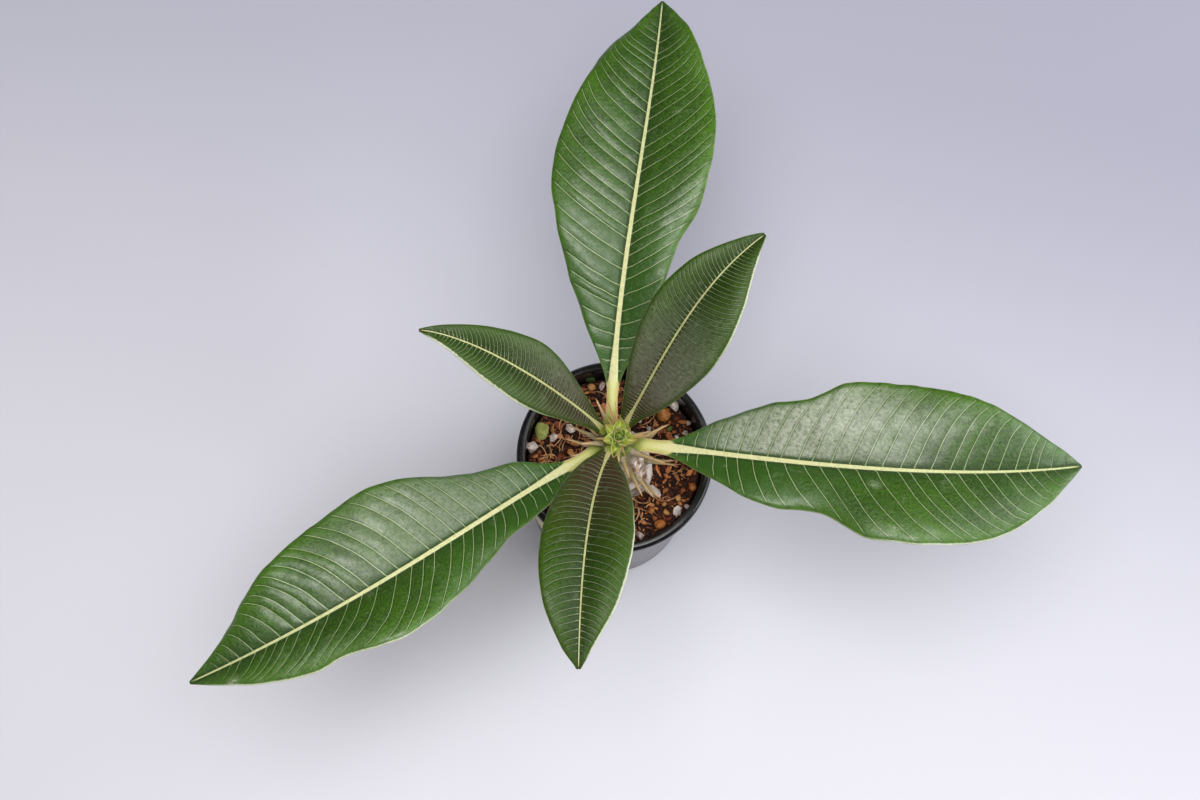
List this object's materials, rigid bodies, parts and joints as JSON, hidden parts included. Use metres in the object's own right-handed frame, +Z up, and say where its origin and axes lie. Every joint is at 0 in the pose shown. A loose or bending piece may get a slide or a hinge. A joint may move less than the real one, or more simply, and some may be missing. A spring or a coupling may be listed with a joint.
{
  "type": "potted pachypodium baronii",
  "caption": "Young pachypodium succulent with a spiny swollen stem, long quilted green leaves and a growing tip, standing in gritty soil in a round black nursery pot.",
  "frame": {"origin": "centre of the pot's underside, on the surface it stands on", "axes": "+Z up; +X towards the tip of the full-grown leaf on the picture's right; +Y towards the leaf at the picture's top"},
  "size_m": [0.2958, 0.2708, 0.1659],
  "materials": {
    "pot_plastic": "moulded black plastic with a satin rim",
    "label_paper": "matt pale yellow paper, bare",
    "soil_mix": "bark crumbs, pumice and baked clay grains",
    "stem_bark": "papery silver-grey skin with straw-coloured spines",
    "tip_green": "fresh soft green with orange-brown points",
    "leaf_green": "waxy deep green with pale veins and midrib",
    "leaf_olive": "waxy olive green with pale veins and midrib"
  },
  "bodies": {
    "root": {"pot": "pot_plastic", "pot_label": "label_paper", "soil": "soil_mix", "stem": "stem_bark", "growing_tip": "tip_green", "leaf_back": "leaf_green", "leaf_right": "leaf_green", "leaf_left": "leaf_green", "leaf_young_left": "leaf_olive", "leaf_young_front": "leaf_olive", "leaf_young_back": "leaf_olive"}
  },
  "joints": []
}
